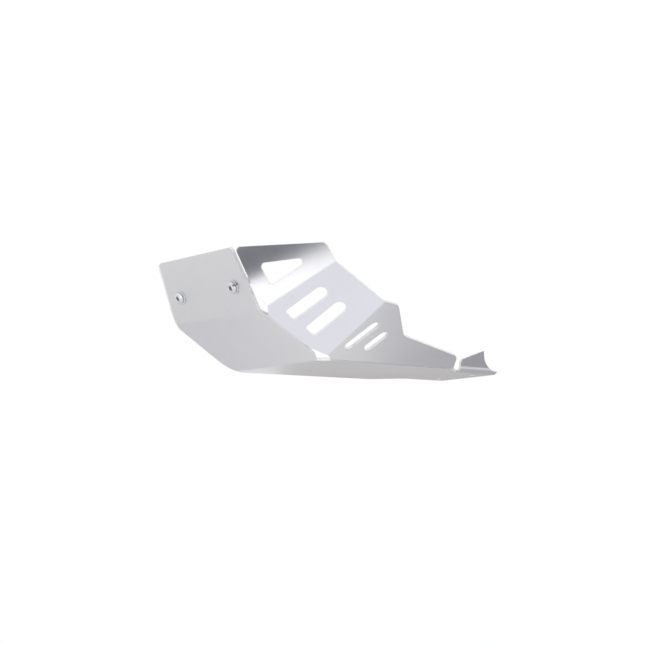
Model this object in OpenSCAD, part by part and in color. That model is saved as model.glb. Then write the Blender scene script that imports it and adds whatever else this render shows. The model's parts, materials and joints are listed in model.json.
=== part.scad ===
// Motorcycle skid plate: one aluminium sheet, cut flat and folded, with its two front screws.
// X runs to the rear of the motorcycle, Y to its right-hand side and Z up.
// The flat bottom lies on z = 0, and the origin is below the middle of the bounding box.

/* [Sheet] */
// Thickness of the aluminium sheet
sheet_t = 3; // [2:0.5:4]
// Inside radius of every fold
fold_r = 5; // [3:0.5:6]
// Diameter of the clearance holes for the mounting screws
mount_hole_d = 9; // [8.6:0.1:10]

/* [Front panel] */
// Length of the front panel, measured up its face
front_len = 71; // [64:1:80]
// Angle of the front panel from level
front_angle = 66; // [60:1:70]
// Width between the corners at the top edge
front_top_w = 152; // [144:1:160]
// Distance of the screws from the fold below them, up the face
screw_up = 30; // [24:1:42]
// Distance between the two screws
screw_pitch = 106; // [90:1:116]

/* [Slope panel] */
// Length of the sloping panel between its two folds
slope_len = 88; // [80:1:100]
// Angle of the sloping panel from level
slope_angle = 32; // [28:1:36]
// Width between the corners at the fold above the slope
knee_w = 172; // [166:1:178]
// Width between the corners at the fold below the slope
heel_w = 178; // [174:1:184]

/* [Bottom panel] */
// Length of the bottom from the heel fold to the rear end of the wings
bottom_len = 182; // [176:1:200]
// Width of the bottom at the rear end of the wings
rear_w = 156; // [148:1:164]
// Length over which the bottom narrows to its tail
shoulder_len = 30; // [24:1:40]
// Width of the tail over its flanges
tail_w = 110; // [100:1:124]
// Length of the tail behind the shoulder
tail_len = 54; // [50:1:66]
// Distance of the rear mounting holes from the end of the tail
rear_hole_in = 18; // [14:1:24]
// Distance between the rear mounting holes
rear_hole_pitch = 60; // [50:1:66]

/* [Wings] */
// Fold angle between the slope and each wing
wing_fold = 43; // [38:1:47]
// Height of the middle facet, measured up the wing
wing_h = 93; // [88:1:100]
// Start of the middle facet's outer edge, behind the knee
wing_edge_front = 16; // [12:1:20]
// End of the middle facet's outer edge, behind the knee
wing_edge_rear = 86; // [80:1:90]
// Height of the short outer edge of the front facet
ear_h = 22; // [18:1:26]
// Length of the rear facet's top edge
skirt_top_len = 21.5; // [18:0.5:26]
// Distance of the rear facet's hollow corner behind the heel
skirt_hollow_x = 82.5; // [76:0.5:90]
// Height of the rear facet at its hollow corner
skirt_hollow_h = 43.7; // [38:0.1:48]
// Height of the rear facet at its rear end
skirt_end_h = 20; // [17:0.5:24]

/* [Wing cut-outs] */
// Width of the two long slots in the middle facet
long_slot_w = 14.6; // [12:0.1:16]
// Distance of the first long slot behind the knee
long_slot_x = 24; // [22:0.5:27]
// Distance between the long slots along the fold
long_slot_gap = 30; // [27:0.5:32]
// Height of the lower end of the long slots
long_slot_low = 15; // [12:0.5:18]
// Height of the upper end of the long slots
long_slot_high = 63.7; // [56:0.1:72]
// Width of the two short slots in the rear facet
short_slot_w = 11.4; // [8:0.1:13]
// Distance of the first short slot behind the heel
short_slot_x = 19; // [17:0.5:22]
// Distance between the short slots along the fold
short_slot_gap = 26; // [23:0.5:29]
// Length of the front short slot
short_slot_len = 44; // [38:0.5:48]
// How much shorter the rear short slot is
short_slot_step = 14; // [8:0.5:18]
// Length of the three-cornered window in the front facet
window_len = 56.5; // [46:0.5:60]
// Height of the three-cornered window
window_h = 25.5; // [20:0.5:28]
// Height of the window's long edge above the crease below it
window_low = 16; // [13:0.5:18]

/* [Corner reliefs] */
// How far the knee relief runs up the front panel
knee_relief_up = 22; // [18:1:26]
// How far the knee relief runs down the slope
knee_relief_down = 10; // [8:1:13]
// How far the heel relief runs up the slope
heel_relief_up = 26; // [22:1:30]
// How far the heel relief runs along the bottom
heel_relief_back = 12; // [9:1:15]
// Distance from the knee to the foot of the front crease
front_crease_foot = 8.5; // [7:0.5:11]
// Distance from the heel to the foot of the rear crease
rear_crease_foot = 7.5; // [6:0.5:10]
// Distance of the front panel's side edges from the corner line
front_seam = 3; // [2:0.5:4]
// Distance of the front facets' edges from the corner line
ear_seam = 2; // [1.5:0.5:3]
// Distance of the bottom's and rear facets' edges from the corner line
bottom_seam = 1.5; // [1.3:0.1:2.5]

/* [Tail flanges] */
// Height of the front edge of each flange
flange_front_h = 14; // [11:0.5:17]
// Height of the highest point of each flange
flange_h = 26; // [22:0.5:32]
// Distance of the highest point behind the front edge
flange_peak = 34; // [28:0.5:40]
// Radius of the hollow rear edge
flange_hollow_r = 17.5; // [15:0.5:22]

/* [Front screws] */
// Thread diameter of the screws
screw_d = 8; // [7.6:0.1:8.2]
// Head diameter of the screws
screw_head_d = 14; // [12:0.5:15]
// Head height of the screws
screw_head_h = 4.4; // [3.8:0.1:5]
// Length of the screws below the head
screw_len = 25; // [16:1:35]
// Diameter of the plain neck between head and thread
screw_neck_d = 7.2; // [6:0.1:7.4]
// Width across flats of the hexagon socket
socket_af = 5; // [4:0.5:6]
// Depth of the hexagon socket
socket_depth = 2.6; // [2:0.1:3]
// Outer diameter of the washers
washer_d = 16; // [15:0.5:18]
// Thickness of the washers
washer_t = 1.6; // [1.2:0.1:2]
// Hole diameter of the washers
washer_hole_d = 8.4; // [8.2:0.1:8.8]

/* [Hidden] */
$fn = 48;

// Distance of the spine's corners from the corner lines, at the knee and at the heel
knee_bite = 4.5;
heel_bite = 7;
// Radii of the outline's corners
panel_corner_r = 4;
ear_corner_r = 7;
skirt_corner_r = 12;
skirt_end_r = 9;
flange_corner_r = 5;
flange_peak_r = 1;
slot_foot_r = 3;
window_r = 4;
// Lean of the short slots and of the window's short edge
short_slot_lean = 25;
window_lean = 6.5;
// Places of the short slots and the window on their facets
short_slot_low = 19;
window_x = 22.5;
// How far the short outer edge of the front facet leans out, and the rear end of the rear facet in
ear_lean_out = 2;
skirt_end_lean = 7;
// Drop of the rear facet's top edge
skirt_top_drop = 3;
// Height of the lip that the hollow rear edge of a flange leaves at the tail
flange_lip = 3.4;

// How far the necks of the screws reach past the sheet
neck_past_sheet = 0.4;

// Length by which each flat's shape runs on past a fold
lap = 4.5;
// Length by which the rounding of a fold runs on past the wing's outer edge
overrun = 20;
// Distance from a corner at which the rounding of a fold starts, inside the relief opening
round_start = 2;
// Extra radius that lets a fold's cylinder cross the flats cleanly
blend = 0.002;
// Reach of the blocks that stand for the space inside a face
reach = 400;

outer_r = fold_r + sheet_t;

// Side view: run and rise of the two raised panels
slope_run = slope_len * cos(slope_angle);
slope_rise = slope_len * sin(slope_angle);
front_run = front_len * cos(front_angle);
front_rise = front_len * sin(front_angle);
tail_start = bottom_len + shoulder_len;
tail_end = tail_start + tail_len;
heel_x = (slope_run + front_run - tail_end) / 2;

// Corners of the left half, where the outer faces would meet if the folds had no radius
heel = [heel_x, -heel_w / 2, 0];
knee = [heel_x - slope_run, -knee_w / 2, slope_rise];
crown = [knee.x - front_run, -front_top_w / 2, slope_rise + front_rise];
rear = [heel_x + bottom_len, -rear_w / 2, 0];

function unit(v) = v / norm(v);

// Direction up or along each panel, and its outward normal
front_u = [cos(front_angle), 0, -sin(front_angle)];
slope_u = [cos(slope_angle), 0, -sin(slope_angle)];
bottom_u = [1, 0, 0];
front_n = [-sin(front_angle), 0, -cos(front_angle)];
slope_n = [-sin(slope_angle), 0, -cos(slope_angle)];
bottom_n = [0, 0, -1];

// Middle facet: folded up from the side edge of the slope
side_u = unit(heel - knee);
mid_up = cos(wing_fold) * cross(slope_n, side_u) - sin(wing_fold) * slope_n;
mid_n = cross(side_u, mid_up);
wing_front = knee + wing_edge_front * side_u + wing_h * mid_up;
wing_rear = knee + wing_edge_rear * side_u + wing_h * mid_up;

// Front and rear facets: each plane holds its crease and the side edge of its panel
ear_u = unit(wing_front - knee);
ear_n = unit(cross(wing_front - knee, crown - knee));
rear_crease_u = unit(wing_rear - heel);
skirt_u = unit(rear - heel);
skirt_n = unit(cross(rear - heel, wing_rear - heel));

// Lengths of the corner lines
side_len = norm(heel - knee);
ear_crease_len = norm(wing_front - knee);

// A point in the coordinates of a face with origin o, x along u and outward normal n
function on(p, o, u, n) = [(p - o) * u, (p - o) * cross(n, u)];

// Point at a distance along the line from a to b and a distance to its left
function beside(a, b, along, left) =
    let (d = unit(b - a))
    a + along * d + left * [-d.y, d.x];

// Point on the line from a to b that lies past b, one lap beyond the fold that runs along f
function past(a, b, f) =
    let (d = unit(b - a))
    b + lap / abs(cross(d, unit(f))) * d;

// Crossing of the lines a-b and c-d
function crossing(a, b, c, d) =
    let (r = b - a, s = d - c)
    a + cross(c - a, s) / cross(r, s) * r;

function mirrored(left) = concat(left, [for (i = [len(left) - 1 : -1 : 0]) [left[i].x, -left[i].y]]);

// Puts its children on an outer face: x along u, y along n x u and z outward
module on_face(o, u, n) {
    v = cross(n, u);
    multmatrix([[u.x, v.x, n.x, o.x], [u.y, v.y, n.y, o.y], [u.z, v.z, n.z, o.z], [0, 0, 0, 1]])
        children();
}

module on_front() {
    on_face([crown.x, 0, crown.z], front_u, front_n) children();
}

module on_slope() {
    on_face([knee.x, 0, knee.z], slope_u, slope_n) children();
}

module on_bottom() {
    on_face([heel.x, 0, 0], bottom_u, bottom_n) children();
}

module both_sides() {
    children();
    mirror([0, 1, 0]) children();
}

// Flat outline with true arcs: a circle is added or taken away at each rounded corner
module outline(points, radii) {
    count = len(points);
    area = [for (i = [0 : count - 1]) cross(points[i], points[(i + 1) % count])] * [for (p = points) 1];
    corners = [
        for (i = [0 : count - 1])
            let (p = points[i],
                 back = unit(points[(i + count - 1) % count] - p),
                 ahead = unit(points[(i + 1) % count] - p),
                 half = acos(back * ahead) / 2,
                 tangent = radii[i] / tan(half))
            [p + tangent * back, p + tangent * ahead, p + radii[i] / sin(half) * unit(back + ahead),
             cross(ahead, back) * area > 0]
    ];
    difference() {
        union() {
            polygon([for (i = [0 : count - 1]) each radii[i] == 0 ? [points[i]] : [corners[i][0], corners[i][1]]]);
            for (i = [0 : count - 1])
                if (radii[i] > 0 && corners[i][3])
                    translate(corners[i][2]) circle(radii[i]);
        }
        for (i = [0 : count - 1])
            if (radii[i] > 0 && !corners[i][3])
                translate(corners[i][2]) circle(radii[i]);
    }
}

// What a fold's rounding takes off the corner between two faces, along their corner line from a to b
module fold_rounding(a, b, n1, n2, radius) {
    half = acos(n1 * n2) / 2;
    far = 2 * outer_r;
    on_face(a, unit(b - a), unit(n1 + n2))
        rotate([90, 0, 90])
            linear_extrude(norm(b - a))
                translate([0, -outer_r / cos(half)])
                    difference() {
                        polygon([[0, 0], [far * tan(half), far], [-far * tan(half), far]]);
                        circle(radius + blend);
                    }
}

// Everything inside the folded faces, which are moved in by a depth and rounded at the folds
module inside(depth) {
    gap = round_start;
    knee_edge = [knee.x, knee.y + gap, knee.z];
    heel_edge = [heel.x, heel.y + gap, heel.z];
    difference() {
        intersection() {
            on_front() below(depth);
            on_slope() below(depth);
            on_bottom() below(depth);
            on_face(knee, side_u, mid_n) below(depth);
            on_face(knee, ear_u, ear_n) below(depth);
            on_face(heel, skirt_u, skirt_n) below(depth);
            mirror([0, 1, 0]) on_face(knee, side_u, mid_n) below(depth);
            mirror([0, 1, 0]) on_face(knee, ear_u, ear_n) below(depth);
            mirror([0, 1, 0]) on_face(heel, skirt_u, skirt_n) below(depth);
        }
        fold_rounding(knee_edge, [knee.x, -knee_edge.y, knee.z], front_n, slope_n, outer_r - depth);
        fold_rounding(heel_edge, [heel.x, -heel_edge.y, heel.z], slope_n, bottom_n, outer_r - depth);
        both_sides() {
            fold_rounding(knee + gap * side_u, heel - gap * side_u, slope_n, mid_n, outer_r - depth);
            fold_rounding(knee + gap * ear_u, wing_front + overrun * ear_u, ear_n, mid_n, outer_r - depth);
            fold_rounding(heel + gap * rear_crease_u, wing_rear + overrun * rear_crease_u,
                          mid_n, skirt_n, outer_r - depth);
        }
    }
}

// The space below a face
module below(depth) {
    translate([-reach, -reach, -reach - depth]) cube([2 * reach, 2 * reach, reach]);
}

// Thick slab around the sheet of a face, cut to the flat shape given as children
module around_sheet() {
    translate([0, 0, -2 * sheet_t])
        linear_extrude(2.5 * sheet_t)
            children();
}

module front_panel() {
    top = [0, front_top_w / 2];
    knee_corner = [front_len, knee_w / 2];
    edge_top = beside(top, knee_corner, 0, -front_seam);
    edge_low = beside(top, knee_corner, norm(knee_corner - top) - knee_relief_up, -front_seam);
    on_front()
        around_sheet() difference() {
            outline(
                mirrored([
                    crossing(edge_top, edge_low, [0, 0], [0, 1]),
                    edge_low,
                    past(edge_low, [front_len, knee_w / 2 - knee_bite], [0, 1])
                ]),
                [panel_corner_r, 0, 0, 0, 0, panel_corner_r]);
            for (side = [-1, 1])
                translate([front_len - screw_up, side * screw_pitch / 2])
                    circle(d = mount_hole_d);
        }
}

module slope_panel() {
    knee_corner = [0, knee_w / 2];
    heel_corner = [slope_len, heel_w / 2];
    side = heel_corner - knee_corner;
    knee_cut = [0, knee_w / 2 - knee_bite];
    side_start = beside(knee_corner, heel_corner, knee_relief_down, 0);
    side_end = beside(knee_corner, heel_corner, side_len - heel_relief_up, 0);
    heel_cut = [slope_len, heel_w / 2 - heel_bite];
    on_slope()
        around_sheet() polygon(mirrored([
            past(side_start, knee_cut, [0, 1]),
            past(knee_cut, side_start, side),
            past(heel_cut, side_end, side),
            past(side_end, heel_cut, [0, 1])
        ]));
}

module bottom_panel() {
    heel_corner = [0, heel_w / 2];
    rear_corner = [bottom_len, rear_w / 2];
    side_start = beside(heel_corner, rear_corner, heel_relief_back, -bottom_seam);
    side_end = beside(heel_corner, rear_corner, norm(rear_corner - heel_corner), -bottom_seam);
    tail_edge = tail_w / 2 - outer_r;
    on_bottom()
        around_sheet() difference() {
            polygon(mirrored([
                past(side_start, [0, heel_w / 2 - heel_bite], [0, 1]),
                side_start,
                side_end,
                [tail_start, tail_edge],
                [tail_end, tail_edge]
            ]));
            for (side = [-1, 1])
                translate([tail_end - rear_hole_in, side * rear_hole_pitch / 2])
                    circle(d = mount_hole_d);
        }
}

// Flange beside the tail, bent straight up: the bent strip inside the flange's side view.
// It stands on the bottom's outer face, where z points down.
module tail_flange() {
    hollow = [flange_peak + flange_hollow_r, flange_lip + flange_hollow_r];
    tail_edge = tail_w / 2 - outer_r;
    translate([tail_start, tail_edge, 0])
        intersection() {
            rotate([90, 0, 90])
                linear_extrude(tail_len)
                    translate([0, -outer_r]) {
                        difference() {
                            circle(outer_r);
                            circle(fold_r);
                            translate([-2 * outer_r, -2 * outer_r]) square([2 * outer_r, 4 * outer_r]);
                            translate([0, -2 * outer_r]) square(2 * outer_r);
                        }
                        translate([fold_r, -flange_h]) square([sheet_t, flange_h]);
                    }
            translate([0, -tail_w / 2, 0])
                rotate([-90, 0, 0])
                    linear_extrude(tail_w)
                        difference() {
                            outline([[0, -sheet_t], [tail_len, -sheet_t], [tail_len, hollow.y],
                                     [flange_peak, hollow.y], [flange_peak, flange_h], [0, flange_front_h]],
                                    [0, 0, 0, 0, flange_peak_r, flange_corner_r]);
                            translate(hollow) circle(flange_hollow_r);
                        }
        }
}

// Long slot with a round top, leaning as the creases on both sides of it do
module long_slot(x) {
    front_lean = atan(wing_edge_front / wing_h);
    rear_lean = atan((wing_edge_rear - side_len) / wing_h);
    top = long_slot_high - long_slot_w / 2;
    translate([x, 0])
        rotate(-(front_lean + (rear_lean - front_lean) * x / side_len)) {
            outline([[-long_slot_w / 2, long_slot_low], [long_slot_w / 2, long_slot_low],
                     [long_slot_w / 2, top], [-long_slot_w / 2, top]],
                    [slot_foot_r, slot_foot_r, 0, 0]);
            translate([0, top]) circle(d = long_slot_w);
        }
}

module short_slot(x, length) {
    translate([x, short_slot_low])
        rotate(-short_slot_lean) {
            translate([-short_slot_w / 2, short_slot_w / 2])
                square([short_slot_w, length - short_slot_w]);
            for (end = [short_slot_w / 2, length - short_slot_w / 2])
                translate([0, end]) circle(d = short_slot_w);
        }
}

module middle_facet() {
    heel_corner = [side_len, 0];
    front_top = [wing_edge_front, wing_h];
    rear_top = [wing_edge_rear, wing_h];
    front_foot = beside([0, 0], front_top, front_crease_foot, 0);
    rear_foot = beside(heel_corner, rear_top, rear_crease_foot, 0);
    side_start = [knee_relief_down, 0];
    side_end = [side_len - heel_relief_up, 0];
    on_face(knee, side_u, mid_n)
        around_sheet() difference() {
            polygon([
                past(side_start, front_foot, front_top),
                past(front_foot, side_start, heel_corner),
                past(rear_foot, side_end, heel_corner),
                past(side_end, rear_foot, rear_top - heel_corner),
                past(front_top, rear_top, rear_top - heel_corner),
                past(rear_top, front_top, front_top)
            ]);
            long_slot(long_slot_x);
            long_slot(long_slot_x + long_slot_gap);
        }
}

// Front facet with its three-cornered window
module front_facet() {
    crown_corner = on(crown, knee, ear_u, ear_n);
    crease_end = [ear_crease_len, 0];
    edge_low = beside([0, 0], crown_corner, knee_relief_up, -ear_seam);
    edge_high = beside([0, 0], crown_corner, norm(crown_corner), -ear_seam);
    outer_corner = [ear_crease_len + ear_lean_out, ear_h];
    window_foot = [window_x, window_low];
    on_face(knee, ear_u, ear_n)
        around_sheet() difference() {
            outline([
                past(edge_low, [front_crease_foot, 0], crease_end),
                past(outer_corner, crease_end, crease_end),
                outer_corner,
                crossing(edge_low, edge_high, outer_corner, crown_corner),
                edge_low
            ], [0, 0, ear_corner_r, panel_corner_r, 0]);
            outline([window_foot, window_foot + [window_len, 0],
                     window_foot + window_h * [tan(window_lean), 1]],
                    [window_r, window_r, window_r]);
        }
}

// Rear facet with its short slots
module rear_facet() {
    top = on(wing_rear, heel, skirt_u, skirt_n);
    edge_len = norm(rear - heel);
    shoulder = top + [skirt_top_len, -skirt_top_drop];
    edge_start = [heel_relief_back, bottom_seam];
    on_face(heel, skirt_u, skirt_n)
        around_sheet() difference() {
            outline([
                edge_start,
                [edge_len, bottom_seam],
                [edge_len - skirt_end_lean, skirt_end_h],
                [skirt_hollow_x, skirt_hollow_h],
                shoulder,
                past(shoulder, top, top),
                past(edge_start, beside([0, 0], top, rear_crease_foot, 0), top)
            ], [0, 0, skirt_end_r, skirt_corner_r, skirt_corner_r, 0, 0]);
            short_slot(short_slot_x, short_slot_len);
            short_slot(short_slot_x + short_slot_gap, short_slot_len - short_slot_step);
        }
}

// The folded sheet lies between the outer and the inner faces, inside the shapes of its flats
module skid_plate() {
    color([0.80, 0.81, 0.83]) {
        intersection() {
            difference() {
                inside(0);
                inside(sheet_t);
            }
            union() {
                front_panel();
                slope_panel();
                bottom_panel();
                both_sides() {
                    middle_facet();
                    front_facet();
                    rear_facet();
                }
            }
        }
        on_bottom() both_sides() tail_flange();
    }
}

// Axis of a front screw: its children's z = 0 lies on the panel's outer face
module at_front_hole(side) {
    on_front()
        translate([front_len - screw_up, -side * screw_pitch / 2, 0])
            children();
}

module front_washer(side) {
    color([0.72, 0.73, 0.74])
        at_front_hole(side)
            difference() {
                cylinder(d = washer_d, h = washer_t);
                translate([0, 0, -washer_t]) cylinder(d = washer_hole_d, h = 3 * washer_t);
            }
}

// Button head screw: a low dome with a hexagon socket, a plain neck through the sheet, and the thread
module front_screw(side) {
    dome_r = (pow(screw_head_d / 2, 2) + pow(screw_head_h, 2)) / (2 * screw_head_h);
    neck_len = washer_t + sheet_t + neck_past_sheet;
    color([0.66, 0.67, 0.69])
        at_front_hole(side)
            translate([0, 0, washer_t])
                difference() {
                    union() {
                        rotate_extrude()
                            intersection() {
                                translate([0, screw_head_h - dome_r]) circle(dome_r);
                                square([screw_head_d / 2, screw_head_h]);
                            }
                        translate([0, 0, -neck_len]) cylinder(d = screw_neck_d, h = neck_len + screw_head_h / 4);
                        translate([0, 0, -screw_len]) cylinder(d = screw_d, h = screw_len - neck_len);
                    }
                    translate([0, 0, screw_head_h - socket_depth])
                        cylinder(d = socket_af / cos(30), h = screw_head_h, $fn = 6);
                }
}

skid_plate();
front_screw(-1);  // front_screw_left
front_screw(1);  // front_screw_right
front_washer(-1);  // front_washer_left
front_washer(1);  // front_washer_right
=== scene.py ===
"""Looks of the motorcycle skid plate: its finishes, screws and washers, a studio and a camera."""
import json
import math

import bmesh
import bpy
from mathutils import Matrix, Vector
from mathutils.bvhtree import BVHTree


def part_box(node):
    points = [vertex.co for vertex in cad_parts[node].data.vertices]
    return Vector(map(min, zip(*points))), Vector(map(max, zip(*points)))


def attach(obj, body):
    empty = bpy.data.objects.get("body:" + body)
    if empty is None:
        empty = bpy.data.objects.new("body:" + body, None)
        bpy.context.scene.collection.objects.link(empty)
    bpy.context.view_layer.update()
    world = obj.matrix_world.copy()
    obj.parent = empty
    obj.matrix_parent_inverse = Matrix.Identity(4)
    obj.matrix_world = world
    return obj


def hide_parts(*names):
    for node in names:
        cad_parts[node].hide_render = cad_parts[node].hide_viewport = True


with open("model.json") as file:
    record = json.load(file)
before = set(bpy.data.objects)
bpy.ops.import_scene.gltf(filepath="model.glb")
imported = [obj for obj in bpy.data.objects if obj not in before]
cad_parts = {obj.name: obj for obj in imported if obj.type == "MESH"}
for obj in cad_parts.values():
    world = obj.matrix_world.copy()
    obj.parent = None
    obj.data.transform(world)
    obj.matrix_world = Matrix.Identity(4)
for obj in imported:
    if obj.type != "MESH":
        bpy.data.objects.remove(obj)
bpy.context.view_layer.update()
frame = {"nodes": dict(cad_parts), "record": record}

MM = 0.001

# Folded sheet: its thickness, the lengths of its slope and bottom, the slope's angle from level,
# and half the widths at the fold above the slope, the fold below it and the rear end of the wings
SHEET_THICKNESS = 3 * MM
SLOPE_LENGTH = 88 * MM
SLOPE_ANGLE = math.radians(32)
BOTTOM_LENGTH = 182 * MM
HEEL_TO_TAIL_END = 266 * MM
KNEE_HALF_WIDTH = 86 * MM
HEEL_HALF_WIDTH = 89 * MM
REAR_HALF_WIDTH = 78 * MM

# Heel relief: how far it runs up the slope from the heel, where it starts to widen and how far it
# runs along the bottom
RELIEF_UP = 26 * MM
RELIEF_TURN = 12.4 * MM
RELIEF_BACK = 11.9 * MM
# How far it reaches inwards from the corner line on the slope, at the heel and on the bottom, how
# far outwards, and how far the block that cuts it stands out of the sheet on both sides
RELIEF_SLOT = 2.5 * MM
RELIEF_BITE = 12 * MM
RELIEF_SEAM = 1.5 * MM
RELIEF_OUT = 0.8 * MM
RELIEF_REACH = 7 * MM

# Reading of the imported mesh: how close two vertices are one, how steep an edge stays sharp, and how
# much the larger faces weigh in the shading
MERGE_DISTANCE = 0.0001 * MM
SHARP_ANGLE = math.radians(30)
FACE_WEIGHT = 100
# A face has the brushed finish where the sheet below it is one thickness deep, measured from a
# start just below the face and with some slack
PROBE_START = 0.01 * MM
THICKNESS_SLACK = 0.06 * MM

# Front screws, M8 with a button head: thread, plain neck, head, the radius of its rim and the angle
# in degrees up to which the rim is round, and hexagon socket
THREAD_RADIUS = 4 * MM
THREAD_PITCH = 1.25 * MM
THREAD_DEPTH = 0.70 * MM
THREAD_END_CHAMFER = 0.9 * MM
NECK_RADIUS = 3.6 * MM
NECK_LENGTH = 5 * MM
SCREW_LENGTH = 25 * MM
HEAD_RADIUS = 7 * MM
HEAD_HEIGHT = 4.4 * MM
HEAD_RIM = 0.55 * MM
RIM_END_ANGLE = 30
SOCKET_FLATS = 5 * MM
SOCKET_DEPTH = 2.6 * MM
SOCKET_CHAMFER = 0.35 * MM

# Form of the thread: rows of vertices in one turn, and the steepness and the start of its flanks
THREAD_ROWS = 9
FLANK_STEEPNESS = 1.25
FLANK_START = 0.12
# Small steps in the screw's outline: the neck's two ends, the seat below the head and how many rim
# radii it ends inside the head's edge, the socket's lip, its countersink and how many chamfers deep
# that ends, and the socket's floor, rounded and drilled
NECK_END = 0.3 * MM
SEAT_STEP = 0.2 * MM
SEAT_EDGE = 1.2
LIP_IN = 0.1 * MM
LIP_DOWN = 0.05 * MM
COUNTERSINK_WIDTH = 0.12 * MM
COUNTERSINK_END = 1.4
SOCKET_FLOOR_ROUND = 0.1 * MM
SOCKET_FLOOR_SHARE = 0.96
DRILL_RADIUS = 0.8 * MM
DRILL_DEPTH = 0.35 * MM
DRILL_TIP_RADIUS = 0.2 * MM
DRILL_TIP_DEPTH = 0.5 * MM

# Washers below the screws' heads
WASHER_RADIUS = 8 * MM
WASHER_HOLE = 4.2 * MM
WASHER_THICKNESS = 1.6 * MM
WASHER_ROUND = 0.3 * MM

# Turned pieces: vertices in a ring, steps in a washer's round, a head's rim and its dome, and how
# steep an edge stays sharp
TURNED_STEPS = 96
ROUND_STEPS = 4
RIM_STEPS = 6
DOME_STEPS = 14
TURNED_SHARP_ANGLE = math.radians(32)

# Edges in every finish: samples of the rounding, and how fast the mask on them rises
BEVEL_SAMPLES = 6
EDGE_GAIN = 6.0

# Brushed sheet: stretch of its fine lines, broad lines and wipe marks, all along the plate, the
# size of its clouds, and what share each kind of line has
FINE_LINES = (45, 4200, 45)
BROAD_LINES = (12, 900, 12)
WIPE_MARKS = (9, 30, 9)
CLOUD_SCALE = 22.0
FINE_SHARE = 0.6
BROAD_SHARE = 0.4
# Its roughness on the lines, what clouds and wipe marks add or take, what the polished edges take,
# the depth and strength of the lines, the rounding of the edges, and its greys
LINE_ROUGHNESS = (0.29, 0.35)
CLOUD_ROUGHNESS = 0.03
WIPE_ROUGHNESS = 0.025
EDGE_POLISH = 0.08
LINE_DEPTH = 0.02 * MM
LINE_STRENGTH = 0.2
SHEET_EDGE_ROUND = 0.5 * MM
SHEET_GREYS = ((0.79, 0.79, 0.805, 1), (0.815, 0.815, 0.83, 1))
CLOUD_GREY = (0.76, 0.76, 0.775, 1)
CLOUD_SHARE = 0.35
# Painted highlight: the grey that the rounded edges are painted
SHEET_EDGE_HIGHLIGHT = (0.93, 0.935, 0.95, 1)

# Cut edge of the sheet: size of its striations and of its heat tints, its roughness, depth and
# strength of the striations, and its greys
GRIT_SCALE = 1900.0
HEAT_SCALE = 160.0
CUT_ROUGHNESS = (0.36, 0.52)
GRIT_DEPTH = 0.05 * MM
GRIT_STRENGTH = 0.5
CUT_GREYS = ((0.80, 0.80, 0.81, 1), (0.90, 0.90, 0.91, 1))
# Painted highlight: the grey that the rounded cut edges are painted
CUT_EDGE_HIGHLIGHT = (0.96, 0.96, 0.97, 1)

# Turned steel: two greys and the roughness of the screws and of the washers
SCREW_STEEL = ((0.66, 0.67, 0.69, 1), (0.78, 0.79, 0.81, 1), 0.26)
WASHER_STEEL = ((0.64, 0.65, 0.66, 1), (0.76, 0.77, 0.78, 1), 0.30)
# Size of its rings and stains, what they add to the roughness, depth and strength of the rings, the
# rounding of its edges, their painted highlight grey, and the grey of the painted shade in a socket
RING_SCALE = 5200.0
STAIN_SCALE = 210.0
RING_SMOOTHER = 0.05
RING_ROUGHER = 0.06
STAIN_ROUGHNESS = (-0.03, 0.04)
RING_DEPTH = 0.02 * MM
RING_STRENGTH = 0.35
STEEL_EDGE_ROUND = 0.15 * MM
STEEL_EDGE_HIGHLIGHT = (0.82, 0.83, 0.85, 1)
SOCKET_SHADE_GREY = (0.13, 0.13, 0.14, 1)

# Camera: a long lens, a little below the plate and to the left of its front
CAMERA_AIM = Vector((-0.0425, -0.0336, 0.0467))
CAMERA_DISTANCE = 2.156
CAMERA_YAW = math.radians(34.97)
CAMERA_PITCH = math.radians(6.47)
CAMERA_ROLL = math.radians(-0.07)
SENSOR_WIDTH = 36
FOCAL_LENGTH = 111.63

# Paper floor: its height below the plate's bottom, its size, its colour, and its mottling
FLOOR_HEIGHT = -0.30
FLOOR_SIZE = 60
FLOOR_COLOUR = (0.86, 0.86, 0.85)
FLOOR_ROUGHNESS = 0.9
MOTTLE_SCALE = 3.0
MOTTLE_SHADE = 0.985
# It runs out into white between two distances from its middle, and as the view across it nears
# level, where the share is 1
FADE_START = 0.5
FADE_END = 1.7
GRAZE_START = 0.87
GRAZE_END = 0.955

# White room: its level where it is seen, and where it only gives light
WORLD_WHITE = 1.0
WORLD_LIGHT = 0.76

# Soft lamps, a key from the left and a fill from behind: place, size and power
LAMPS = {
    "key_light": (Vector((-2.7, -1.9, 2.2)), 3.2, 36),
    "fill_light": (Vector((1.6, 2.2, 2.4)), 3.2, 24),
}

# Cards that only the metal's reflections show: the place each lies at, the place that it faces, its
# width and height, its turn about the line between them in degrees, and its colour
CARDS = {
    "front_card": ((-0.30, 0.72, -0.20), (-0.13, 0.0, 0.05), 1.0, 0.34, 0, (0.73, 0.73, 0.73)),
    "slope_card": ((0.03, 0.43, -0.25), (-0.12, 0.0, 0.025), 0.9, 0.30, 0, (0.66, 0.65, 0.69)),
    "bottom_card": ((0.76, 0.555, -0.06), (0.10, 0.0, 0.0), 0.8, 0.45, 0, (0.48, 0.46, 0.41)),
    "front_wing_card": ((-0.64, -0.38, -0.09), (-0.12, -0.14, 0.09), 0.5, 0.5, 0,
                        (1.42, 1.42, 1.44)),
    "dark_card": ((-0.203, -0.142, 0.098), (-0.117, -0.101, 0.128), 0.16, 0.05, -16,
                  (0.155, 0.16, 0.18)),
    "middle_card": ((-0.10, -0.24, -0.22), (-0.06, -0.13, 0.06), 0.5, 0.5, 0, (0.92, 0.92, 0.98)),
    "wing_end_card": ((0.30, -0.04, -0.25), (0.06, -0.08, 0.03), 0.45, 0.40, 0,
                      (0.48, 0.48, 0.50)),
    "tail_card": ((0.53, -0.51, 0.07), (0.15, -0.05, 0.01), 0.55, 0.45, 0, (0.35, 0.35, 0.365)),
}


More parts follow.
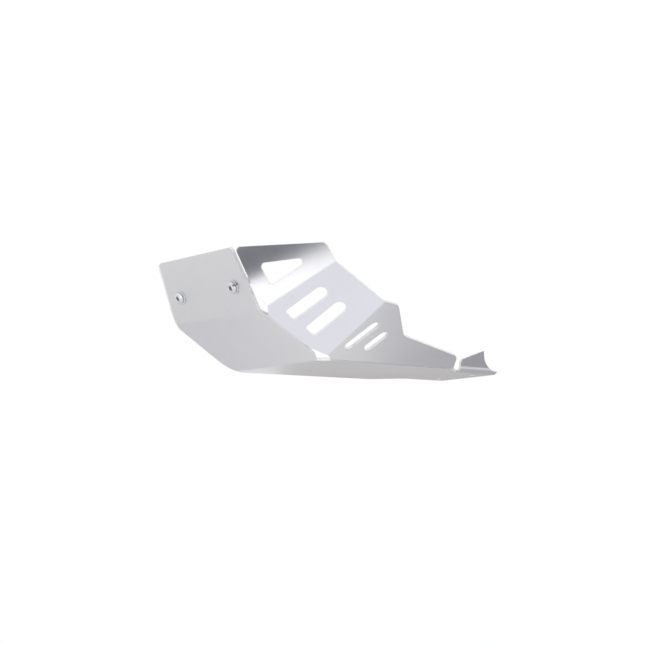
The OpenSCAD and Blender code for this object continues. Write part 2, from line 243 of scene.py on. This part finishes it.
class Shader:
    """A material's node tree, filled by short calls."""

    def __init__(self, name):
        self.material = bpy.data.materials.new(name)
        self.material.use_nodes = True
        self.tree = self.material.node_tree
        self.tree.nodes.clear()
        self.surface = self.node("ShaderNodeBsdfPrincipled")
        self.out = self.node("ShaderNodeOutputMaterial")
        self.link(self.surface.outputs["BSDF"], self.out.inputs["Surface"])

    def node(self, kind, **settings):
        made = self.tree.nodes.new(kind)
        for name, value in settings.items():
            setattr(made, name, value)
        return made

    def link(self, source, target):
        self.tree.links.new(source, target)

    def put(self, socket, value):
        """Gives an input socket its value, or links it where the value is another node's socket."""
        if isinstance(value, bpy.types.NodeSocket):
            self.link(value, socket)
        else:
            socket.default_value = value

    def set(self, node, **values):
        """Fills a node's input sockets by name."""
        for name, value in values.items():
            self.put(node.inputs[name.replace("_", " ")], value)
        return node

    def math(self, operation, a, b=0.0, clamp=False):
        made = self.node("ShaderNodeMath", operation=operation, use_clamp=clamp)
        self.put(made.inputs[0], a)
        self.put(made.inputs[1], b)
        return made.outputs[0]

    def total(self, *values):
        """Sum of two or more values."""
        result = values[0]
        for value in values[1:]:
            result = self.math("ADD", result, value)
        return result

    def noise(self, vector, scale=1.0, detail=2.0, roughness=0.5):
        made = self.node("ShaderNodeTexNoise")
        self.set(made, Vector=vector, Scale=scale, Detail=detail, Roughness=roughness)
        return made.outputs["Fac"]

    def stretched(self, vector, scale):
        made = self.set(self.node("ShaderNodeMapping"), Vector=vector, Scale=scale)
        return made.outputs["Vector"]

    def spread(self, value, low, high):
        """Maps a noise value, which mostly lies between 0.3 and 0.7, to the range low to high."""
        made = self.node("ShaderNodeMapRange")
        self.set(made, Value=value, From_Min=0.3, From_Max=0.7, To_Min=low, To_Max=high)
        return made.outputs["Result"]

    def smoothstep(self, value, start, end):
        """Rises softly from 0 at the start to 1 at the end."""
        made = self.node("ShaderNodeMapRange", interpolation_type="SMOOTHSTEP")
        return self.set(made, Value=value, From_Min=start, From_Max=end).outputs["Result"]

    def blend(self, factor, a, b):
        """Mixes two colours; the sockets are those of the mix node's colour mode."""
        made = self.node("ShaderNodeMix", data_type="RGBA")
        for index, value in ((0, factor), (6, a), (7, b)):
            self.put(made.inputs[index], value)
        return made.outputs[2]

    def bump(self, height, distance, strength, normal):
        made = self.node("ShaderNodeBump")
        self.set(made, Height=height, Distance=distance, Strength=strength, Normal=normal)
        return made.outputs["Normal"]


def object_place(shader):
    return shader.node("ShaderNodeTexCoord").outputs["Object"]


def rounded_normal(shader, radius):
    """Normal that rounds the sharp edges, and a mask that is 1 on them."""
    bevel = shader.node("ShaderNodeBevel", samples=BEVEL_SAMPLES)
    rounded = shader.set(bevel, Radius=radius).outputs["Normal"]
    flat = shader.node("ShaderNodeNewGeometry").outputs["True Normal"]
    dot = shader.node("ShaderNodeVectorMath", operation="DOT_PRODUCT")
    shader.link(rounded, dot.inputs[0])
    shader.link(flat, dot.inputs[1])
    turned = shader.math("SUBTRACT", 1.0, dot.outputs["Value"])
    return rounded, shader.math("MULTIPLY", turned, EDGE_GAIN, clamp=True)


def metal(shader, colour, roughness, normal):
    shader.set(shader.surface, Base_Color=colour, Metallic=1.0, Roughness=roughness, Normal=normal)
    return shader.material


def brushed_sheet():
    """Brushed, clear anodised aluminium: fine lines along the plate, edges polished by handling.

    On the rounded edges the colour is lighter, a painted highlight.
    """
    shader = Shader("brushed_sheet")
    place = object_place(shader)
    fine = shader.noise(shader.stretched(place, FINE_LINES))
    broad = shader.noise(shader.stretched(place, BROAD_LINES), detail=3.0)
    cloudy = shader.noise(place, CLOUD_SCALE, detail=4.0, roughness=0.55)
    wiped = shader.noise(shader.stretched(place, WIPE_MARKS), detail=3.0, roughness=0.6)
    normal, edge = rounded_normal(shader, SHEET_EDGE_ROUND)
    lines = shader.total(shader.math("MULTIPLY", fine, FINE_SHARE),
                         shader.math("MULTIPLY", broad, BROAD_SHARE))
    rough = shader.total(shader.spread(lines, *LINE_ROUGHNESS),
                         shader.spread(cloudy, -CLOUD_ROUGHNESS, CLOUD_ROUGHNESS),
                         shader.spread(wiped, -WIPE_ROUGHNESS, WIPE_ROUGHNESS))
    rough = shader.math("SUBTRACT", rough, shader.math("MULTIPLY", edge, EDGE_POLISH))
    grey = shader.blend(shader.spread(broad, 0, 1), *SHEET_GREYS)
    grey = shader.blend(shader.spread(cloudy, 0, CLOUD_SHARE), grey, CLOUD_GREY)
    # Painted highlight: the edge mask makes the colour lighter on the rounded edges
    return metal(shader, shader.blend(edge, grey, SHEET_EDGE_HIGHLIGHT), rough,
                 shader.bump(lines, LINE_DEPTH, LINE_STRENGTH, normal))


def cut_sheet():
    """Edge of the sheet as the laser leaves it: bright, finely striated, rounded by tumbling."""
    shader = Shader("cut_sheet")
    place = object_place(shader)
    grit = shader.noise(place, GRIT_SCALE)
    heat = shader.noise(place, HEAT_SCALE, detail=3.0)
    normal, edge = rounded_normal(shader, SHEET_EDGE_ROUND)
    grey = shader.blend(shader.spread(heat, 0, 1), *CUT_GREYS)
    # Painted highlight: the edge mask makes the colour lighter on the rounded edges
    return metal(shader, shader.blend(edge, grey, CUT_EDGE_HIGHLIGHT),
                 shader.spread(grit, *CUT_ROUGHNESS),
                 shader.bump(grit, GRIT_DEPTH, GRIT_STRENGTH, normal))


def turned_steel(name, dark, light, roughness, recess=0.0):
    """Stainless steel with the rings that a lathe leaves, read from the piece's own turned place.

    Above the head's seat, all inside the recess radius is the socket, painted dark as its shade.
    """
    shader = Shader(name)
    turned_place = shader.node("ShaderNodeAttribute", attribute_name="turned_place")
    split = shader.set(shader.node("ShaderNodeSeparateXYZ"), Vector=turned_place.outputs["Vector"])
    x, y, z = split.outputs
    radius = shader.math("SQRT", shader.total(shader.math("MULTIPLY", x, x),
                                              shader.math("MULTIPLY", y, y)))
    along = shader.set(shader.node("ShaderNodeCombineXYZ"),
                       X=shader.math("MULTIPLY", radius, RING_SCALE),
                       Y=shader.math("MULTIPLY", z, RING_SCALE))
    rings = shader.noise(along.outputs["Vector"])
    stain = shader.noise(object_place(shader), STAIN_SCALE, detail=4.0, roughness=0.6)
    normal, edge = rounded_normal(shader, STEEL_EDGE_ROUND)
    grey = shader.blend(shader.spread(stain, 0, 1), dark, light)
    # Painted highlight: the edge mask makes the colour lighter on the rounded edges
    colour = shader.blend(edge, grey, STEEL_EDGE_HIGHLIGHT)
    if recess:
        # Painted shade: inside the socket the colour is painted dark
        socket_shade = shader.math("MULTIPLY", shader.math("LESS_THAN", radius, recess),
                             shader.math("GREATER_THAN", z, 0))
        colour = shader.blend(socket_shade, colour, SOCKET_SHADE_GREY)
    rough = shader.total(shader.spread(rings, roughness - RING_SMOOTHER, roughness + RING_ROUGHER),
                         shader.spread(stain, *STAIN_ROUGHNESS))
    return metal(shader, colour, rough, shader.bump(rings, RING_DEPTH, RING_STRENGTH, normal))


def new_object(name, mesh):
    """Turns a bmesh into an object of the scene."""
    data = bpy.data.meshes.new(name)
    mesh.to_mesh(data)
    mesh.free()
    made = bpy.data.objects.new(name, data)
    bpy.context.scene.collection.objects.link(made)
    return made


def relief_block(side):
    """Block over the outline of one heel relief, bent at the heel as the sheet is."""
    heel = Vector((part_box("skid_plate")[1].x - HEEL_TO_TAIL_END, 0, 0))
    slope_up = Vector((-math.cos(SLOPE_ANGLE), 0, math.sin(SLOPE_ANGLE)))
    slope_normal = Vector((-math.sin(SLOPE_ANGLE), 0, -math.cos(SLOPE_ANGLE)))
    bottom_normal = Vector((0, 0, -1))
    fold_normal = (slope_normal + bottom_normal) / (1 + math.cos(SLOPE_ANGLE))

    def on_slope(up, inward):
        half_width = HEEL_HALF_WIDTH + (KNEE_HALF_WIDTH - HEEL_HALF_WIDTH) * up / SLOPE_LENGTH
        return heel + up * slope_up + Vector((0, side * (half_width - inward), 0))

    def on_bottom(back, inward):
        half_width = HEEL_HALF_WIDTH + (REAR_HALF_WIDTH - HEEL_HALF_WIDTH) * back / BOTTOM_LENGTH
        return heel + Vector((back, side * (half_width - inward), 0))

    # The third and the sixth corner lie on the heel's fold, so each side of the block has two faces
    outline = [(on_slope(RELIEF_UP, RELIEF_SLOT), slope_normal),
               (on_slope(RELIEF_TURN, RELIEF_SLOT), slope_normal),
               (on_slope(0, RELIEF_BITE), fold_normal),
               (on_bottom(RELIEF_BACK, RELIEF_SEAM), bottom_normal),
               (on_bottom(RELIEF_BACK, 0), bottom_normal),
               (on_slope(0, -RELIEF_OUT), fold_normal),
               (on_slope(RELIEF_UP, -RELIEF_OUT), slope_normal)]
    mesh = bmesh.new()
    sides = [[mesh.verts.new(point + reach * normal) for point, normal in outline]
             for reach in (-RELIEF_REACH, RELIEF_REACH)]
    for face in sides:
        mesh.faces.new(face[:3] + face[5:])
        mesh.faces.new(face[2:6])
    for corner in range(len(outline)):
        after = (corner + 1) % len(outline)
        mesh.faces.new((sides[0][corner], sides[0][after], sides[1][after], sides[1][corner]))
    bmesh.ops.recalc_face_normals(mesh, faces=mesh.faces)
    return new_object("relief_block", mesh)


def apply_modifiers(piece):
    """Puts the result of the piece's modifiers into its mesh."""
    result = piece.evaluated_get(bpy.context.evaluated_depsgraph_get())
    data = bpy.data.meshes.new_from_object(result)
    piece.modifiers.clear()
    piece.data = data


def folded_plate():
    """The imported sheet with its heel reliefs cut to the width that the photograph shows."""
    mesh = bmesh.new()
    mesh.from_mesh(frame["nodes"]["skid_plate"].data)
    bmesh.ops.remove_doubles(mesh, verts=mesh.verts, dist=MERGE_DISTANCE)
    plate = new_object("folded_plate", mesh)
    blocks = [relief_block(side) for side in (-1, 1)]
    for block in blocks:
        cut = plate.modifiers.new("relief", "BOOLEAN")
        cut.operation, cut.solver, cut.object = "DIFFERENCE", "EXACT", block
    apply_modifiers(plate)
    for block in blocks:
        bpy.data.objects.remove(block)
    plate.data.shade_smooth()
    plate.data.set_sharp_from_angle(angle=SHARP_ANGLE)
    weighted = plate.modifiers.new("weighted", "WEIGHTED_NORMAL")
    weighted.keep_sharp, weighted.weight = True, FACE_WEIGHT
    apply_modifiers(plate)
    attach(plate, "root")
    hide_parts("skid_plate")
    return plate


def dress_plate(plate):
    """Gives the sheet's faces the brushed finish, and its cut edges their own."""
    mesh = plate.data
    mesh.materials.clear()
    mesh.materials.append(brushed_sheet())
    mesh.materials.append(cut_sheet())
    tree = BVHTree.FromPolygons([vertex.co for vertex in mesh.vertices],
                                [tuple(face.vertices) for face in mesh.polygons])
    for face in mesh.polygons:
        inward = -face.normal
        distance = tree.ray_cast(face.center + PROBE_START * inward, inward)[3] or 0
        through = PROBE_START + distance
        face.material_index = 0 if abs(through - SHEET_THICKNESS) < THICKNESS_SLACK else 1


def ring(mesh, radius, height):
    """Ring of vertices; the radius may depend on the angle."""
    made = []
    for step in range(TURNED_STEPS):
        angle = 2 * math.pi * step / TURNED_STEPS
        r = radius(angle) if callable(radius) else radius
        made.append(mesh.verts.new((r * math.cos(angle), r * math.sin(angle), height)))
    return made


def skin(mesh, rings):
    """Faces between each ring and the next."""
    for low, high in zip(rings, rings[1:]):
        for step in range(TURNED_STEPS):
            after = (step + 1) % TURNED_STEPS
            mesh.faces.new((low[step], low[after], high[after], high[step]))


def turned_piece(name, rings, closed, material, place, axis, node):
    """Piece through rings of (radius, height), from place along axis, that stands for a CAD node.

    The last ring of a closed piece meets the first, and otherwise both ends have a flat face.
    """
    mesh = bmesh.new()
    made = [ring(mesh, radius, height) for radius, height in rings]
    if closed:
        skin(mesh, made + made[:1])
    else:
        skin(mesh, made)
        mesh.faces.new(made[-1])
        mesh.faces.new(reversed(made[0]))
    bmesh.ops.recalc_face_normals(mesh, faces=mesh.faces)
    piece = new_object(name, mesh)
    data = piece.data
    turned_place = data.attributes.new("turned_place", "FLOAT_VECTOR", "POINT")
    for vertex, item in zip(data.vertices, turned_place.data):
        item.vector = vertex.co
    data.transform(Matrix.Translation(place) @ axis.to_track_quat("Z", "Y").to_matrix().to_4x4())
    data.shade_smooth()
    data.set_sharp_from_angle(angle=TURNED_SHARP_ANGLE)
    data.materials.append(material)
    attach(piece, "root")
    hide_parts(node)


def hexagon(flats):
    """Radius of a hexagon as a function of the angle."""
    sixth = math.pi / 3
    return lambda angle: flats / 2 / math.cos((angle + sixth / 2) % sixth - sixth / 2)


def arc(centre, radius, start, end, steps):
    """Points on an arc in the half-plane of radius and height, by angle in degrees."""
    made = []
    for step in range(steps + 1):
        angle = math.radians(start + (end - start) * step / steps)
        made.append((centre[0] + radius * math.cos(angle), centre[1] + radius * math.sin(angle)))
    return made


def washer_rings():
    """Flat washer with rounded edges, around its middle plane."""
    half, corner = WASHER_THICKNESS / 2, WASHER_ROUND
    inner, outer = WASHER_HOLE + corner, WASHER_RADIUS - corner
    top, low = half - corner, corner - half
    made = []
    for centre, start in (((outer, low), -90), ((outer, top), 0),
                          ((inner, top), 90), ((inner, low), 180)):
        made += arc(centre, corner, start, start + 90, ROUND_STEPS)
    return made


def shank_rings():
    """Shank from its end to the head: a thread that runs out at both ends, and a plain neck."""
    length = SCREW_LENGTH - NECK_LENGTH
    steps = round(length / THREAD_PITCH * THREAD_ROWS)
    made = []
    for step in range(steps + 1):
        height = -SCREW_LENGTH + length * step / steps
        to_end = min(1.0, (height + SCREW_LENGTH) / THREAD_END_CHAMFER)
        to_neck = min(1.0, (-NECK_LENGTH - height) / THREAD_PITCH)
        crest = THREAD_RADIUS - THREAD_DEPTH * (1 - to_end)

        def radius(angle, height=height, crest=crest, to_neck=to_neck):
            turn = (height / THREAD_PITCH - angle / (2 * math.pi)) % 1
            flank = min(1.0, max(0.0, FLANK_STEEPNESS * abs(2 * turn - 1) - FLANK_START))
            return min(crest, THREAD_RADIUS - THREAD_DEPTH * flank * to_neck)

        made.append((radius, height))
    return [*made, (NECK_RADIUS, -NECK_LENGTH + NECK_END), (NECK_RADIUS, -NECK_END)]


def head_rings():
    """Button head above the shank: seat, rim, dome, and a countersunk, drilled socket."""
    dome = (HEAD_RADIUS ** 2 + HEAD_HEIGHT ** 2) / (2 * HEAD_HEIGHT)
    centre = HEAD_HEIGHT - dome
    rim_top = 2 * HEAD_RIM
    start = math.degrees(math.asin((rim_top - centre) / dome))
    socket = hexagon(SOCKET_FLATS)
    mouth = SOCKET_FLATS / math.sqrt(3) + SOCKET_CHAMFER
    mouth_height = centre + math.sqrt(dome ** 2 - mouth ** 2)
    end = math.degrees(math.acos(mouth / dome))
    floor = HEAD_HEIGHT - SOCKET_DEPTH
    rim_centre = (dome * math.cos(math.radians(start)) - HEAD_RIM, HEAD_RIM)
    return [(THREAD_RADIUS + SEAT_STEP, 0),
            (HEAD_RADIUS - SEAT_EDGE * HEAD_RIM, 0),
            *arc(rim_centre, HEAD_RIM, -90, RIM_END_ANGLE, RIM_STEPS),
            *arc((0, centre), dome, start, end, DOME_STEPS),
            (mouth - LIP_IN, mouth_height - LIP_DOWN),
            (lambda angle: socket(angle) + COUNTERSINK_WIDTH, mouth_height - SOCKET_CHAMFER),
            (socket, mouth_height - COUNTERSINK_END * SOCKET_CHAMFER),
            (socket, floor + SOCKET_FLOOR_ROUND),
            (lambda angle: SOCKET_FLOOR_SHARE * socket(angle), floor),
            (DRILL_RADIUS, floor - DRILL_DEPTH),
            (DRILL_TIP_RADIUS, floor - DRILL_TIP_DEPTH)]


def fasteners():
    """A screw and a washer for each side, along the axis of the record's screw mount."""
    screw_steel = turned_steel("screw_steel", *SCREW_STEEL, recess=SOCKET_FLATS / 2)
    washer_steel = turned_steel("washer_steel", *WASHER_STEEL)
    mounts = {mount["name"]: mount for mount in frame["record"]["mounts"]}
    for side in ("left", "right"):
        outward = -Vector(mounts[f"front_screw_{side}_end"]["axis"]).normalized()
        low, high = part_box(f"front_washer_{side}")
        middle = (low + high) / 2
        seat = middle + WASHER_THICKNESS / 2 * outward
        turned_piece(f"stamped_washer_{side}", washer_rings(), True, washer_steel,
                     middle, outward, f"front_washer_{side}")
        turned_piece(f"button_screw_{side}", shank_rings() + head_rings(), False, screw_steel,
                     seat, outward, f"front_screw_{side}")


def seen_directly(tree):
    """1 for what the camera sees, itself or in a mirror or glass, and 0 for light on the object."""
    path = tree.nodes.new("ShaderNodeLightPath")
    total = path.outputs["Is Camera Ray"]
    for name in ("Is Glossy Ray", "Is Transmission Ray"):
        add = tree.nodes.new("ShaderNodeMath")
        add.operation, add.use_clamp = "ADD", True
        tree.links.new(total, add.inputs[0])
        tree.links.new(path.outputs[name], add.inputs[1])
        total = add.outputs[0]
    return total


def studio_world():
    """White room, which gives less light than it shows."""
    world = bpy.data.worlds.new("studio")
    bpy.context.scene.world = world
    world.use_nodes = True
    tree = world.node_tree
    back = tree.nodes["Background"]
    level = tree.nodes.new("ShaderNodeMapRange")
    level.inputs["To Min"].default_value = WORLD_LIGHT
    level.inputs["To Max"].default_value = WORLD_WHITE
    tree.links.new(seen_directly(tree), level.inputs["Value"])
    tree.links.new(level.outputs["Result"], back.inputs["Strength"])
    back.inputs["Color"].default_value = (1, 1, 1, 1)


def flat_sheet(name, width, height, material):
    """Rectangle around its own middle."""
    x, y = width / 2, height / 2
    data = bpy.data.meshes.new(name)
    data.from_pydata([(-x, -y, 0), (x, -y, 0), (x, y, 0), (-x, y, 0)], [], [(0, 1, 2, 3)])
    data.materials.append(material)
    made = bpy.data.objects.new(name, data)
    bpy.context.scene.collection.objects.link(made)
    return made


def studio_floor():
    """Paper that runs out into the white room with distance and at low angles of view."""
    shader = Shader("floor_paper")
    place = object_place(shader)
    mottled = shader.noise(place, MOTTLE_SCALE, detail=4.0)
    pale = shader.blend(shader.spread(mottled, 0, 1), (*FLOOR_COLOUR, 1),
                        (*(MOTTLE_SHADE * level for level in FLOOR_COLOUR), 1))
    shader.set(shader.surface, Base_Color=pale, Roughness=FLOOR_ROUGHNESS)
    distance = shader.node("ShaderNodeVectorMath", operation="LENGTH")
    shader.link(place, distance.inputs[0])
    angle = shader.set(shader.node("ShaderNodeLayerWeight"), Blend=0.5)
    white_share = shader.math(
        "MAXIMUM", shader.smoothstep(distance.outputs["Value"], FADE_START, FADE_END),
        shader.smoothstep(angle.outputs["Facing"], GRAZE_START, GRAZE_END))
    paper = shader.node("ShaderNodeMixShader")
    white = shader.set(shader.node("ShaderNodeEmission"), Strength=WORLD_WHITE)
    shader.link(shader.math("MULTIPLY", white_share, seen_directly(shader.tree)), paper.inputs[0])
    shader.link(shader.surface.outputs["BSDF"], paper.inputs[1])
    shader.link(white.outputs["Emission"], paper.inputs[2])
    shader.link(paper.outputs["Shader"], shader.out.inputs["Surface"])
    floor = flat_sheet("floor", FLOOR_SIZE, FLOOR_SIZE, shader.material)
    floor.location.z = FLOOR_HEIGHT


def reflection_card(name, place, target, width, height, turn, colour):
    """Plain card that faces its target and shows only in the metal."""
    shader = Shader(name)
    glow = shader.set(shader.node("ShaderNodeEmission"), Color=(*colour, 1))
    shader.link(glow.outputs["Emission"], shader.out.inputs["Surface"])
    card = flat_sheet(name, width, height, shader.material)
    facing = (Vector(target) - Vector(place)).to_track_quat("Z", "Y").to_matrix().to_4x4()
    spin = Matrix.Rotation(math.radians(turn), 4, "Z")
    card.matrix_world = Matrix.Translation(place) @ facing @ spin
    card.visible_camera = card.visible_diffuse = False
    card.visible_shadow = card.visible_transmission = False


def soft_light(name, place, size, power):
    """Round lamp; the metal mirrors the white room and the cards, but not the lamp."""
    data = bpy.data.lights.new(name, "AREA")
    data.shape, data.size, data.energy = "DISK", size, power
    light = bpy.data.objects.new(name, data)
    light.location = place
    light.rotation_euler = (CAMERA_AIM - place).to_track_quat("-Z", "Y").to_euler()
    light.visible_glossy = False
    bpy.context.scene.collection.objects.link(light)


def photo_camera():
    """Camera that looks at its aim from the distance and by the angles given above."""
    ahead = Vector((math.sin(CAMERA_YAW) * math.cos(CAMERA_PITCH),
                    math.cos(CAMERA_YAW) * math.cos(CAMERA_PITCH), math.sin(CAMERA_PITCH)))
    level = Vector((math.cos(CAMERA_YAW), -math.sin(CAMERA_YAW), 0))
    upright = level.cross(ahead)
    right = math.cos(CAMERA_ROLL) * level + math.sin(CAMERA_ROLL) * upright
    up = right.cross(ahead)
    data = bpy.data.cameras.new("photo_camera")
    data.sensor_width, data.lens = SENSOR_WIDTH, FOCAL_LENGTH
    camera = bpy.data.objects.new("photo_camera", data)
    camera.matrix_world = (Matrix.Translation(CAMERA_AIM - CAMERA_DISTANCE * ahead)
                           @ Matrix((right, up, -ahead)).transposed().to_4x4())
    bpy.context.scene.collection.objects.link(camera)
    bpy.context.scene.camera = camera


dress_plate(folded_plate())
fasteners()
studio_world()
studio_floor()
for lamp_name, lamp in LAMPS.items():
    soft_light(lamp_name, *lamp)
for card_name, card in CARDS.items():
    reflection_card(card_name, *card)
photo_camera()
bpy.context.scene.view_settings.view_transform = "Standard"
